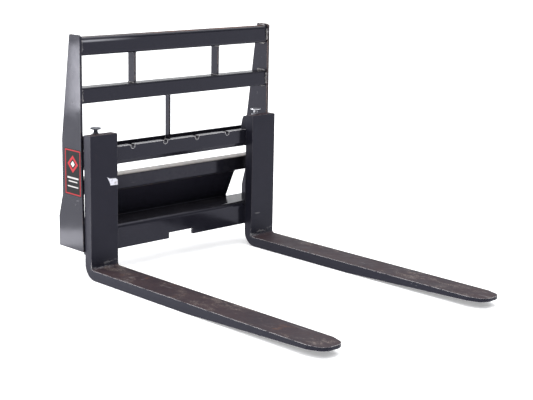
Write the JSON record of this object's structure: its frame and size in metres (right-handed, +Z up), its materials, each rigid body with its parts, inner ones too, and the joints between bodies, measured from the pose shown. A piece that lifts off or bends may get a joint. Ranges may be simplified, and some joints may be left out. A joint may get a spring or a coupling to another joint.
{
  "type": "pallet fork attachment",
  "caption": "Loader pallet fork attachment: welded carrier frame with a load backrest and quick-attach coupler, and two latched hook-on forks that slide along its rails.",
  "frame": {"origin": "centre of the whole part's footprint, on the floor under the blades", "axes": "+X across the frame, the blades point to -Y, +Y towards the loader, +Z up"},
  "size_m": [0.9728, 1.4444, 0.93],
  "materials": {
    "frame_paint": "gloss black enamel with light dust and scuffs",
    "fork_paint": "satin black paint, scratched along the blade edges",
    "zinc": "zinc plated",
    "spring_steel": "bright spring steel",
    "decal": "printed vinyl",
    "label": "torn paper"
  },
  "bodies": {
    "frame": {"left_side_plate": "frame_paint", "right_side_plate": "frame_paint", "top_crossbar": "frame_paint", "middle_crossbar": "frame_paint", "left_upper_post": "frame_paint", "right_upper_post": "frame_paint", "centre_post": "frame_paint", "top_fork_rail": "frame_paint", "lower_fork_rail": "frame_paint", "rail_gussets": "frame_paint", "shelf_ribs": "frame_paint", "coupler_hook": "frame_paint", "coupler_cross_tube": "frame_paint", "coupler_face_plate": "frame_paint", "coupler_ledge": "frame_paint", "side_decals": "decal"},
    "left_fork_body": {"left_fork": "fork_paint", "left_top_hook": "fork_paint", "left_bottom_hook": "fork_paint", "left_latch_bush": "zinc", "left_latch_spring": "spring_steel", "torn_label": "label"},
    "left_latch_slide": {"left_spring_seat": "zinc"},
    "left_latch": {"left_latch_pin": "zinc", "left_cross_pin": "spring_steel"},
    "right_fork_body": {"right_fork": "fork_paint", "right_top_hook": "fork_paint", "right_bottom_hook": "fork_paint", "right_latch_bush": "zinc", "right_latch_spring": "spring_steel"},
    "right_latch_slide": {"right_spring_seat": "zinc"},
    "right_latch": {"right_latch_pin": "zinc", "right_cross_pin": "spring_steel"}
  },
  "joints": [
    {"name": "left_fork_slide", "type": "slide", "parent": "frame", "child": "left_fork_body", "axis": [1, 0, 0], "range_m": [0, 0.333]},
    {"name": "left_latch_drop", "type": "slide", "parent": "left_fork_body", "child": "left_latch_slide", "axis": [0, 0, 1], "range_m": [-0.012, 0], "deforming": ["left_latch_spring"]},
    {"name": "left_latch_turn", "type": "hinge", "parent": "left_latch_slide", "child": "left_latch", "pos_m": [-0.415, 0.54925, 0.56], "axis": [0, 0, 1], "range_deg": [0, 90]},
    {"name": "right_fork_slide", "type": "slide", "parent": "frame", "child": "right_fork_body", "axis": [1, 0, 0], "range_m": [-0.333, 0]},
    {"name": "right_latch_drop", "type": "slide", "parent": "right_fork_body", "child": "right_latch_slide", "axis": [0, 0, 1], "range_m": [-0.012, 0], "deforming": ["right_latch_spring"]},
    {"name": "right_latch_turn", "type": "hinge", "parent": "right_latch_slide", "child": "right_latch", "pos_m": [0.415, 0.54925, 0.56], "axis": [0, 0, 1], "range_deg": [0, 90]}
  ]
}
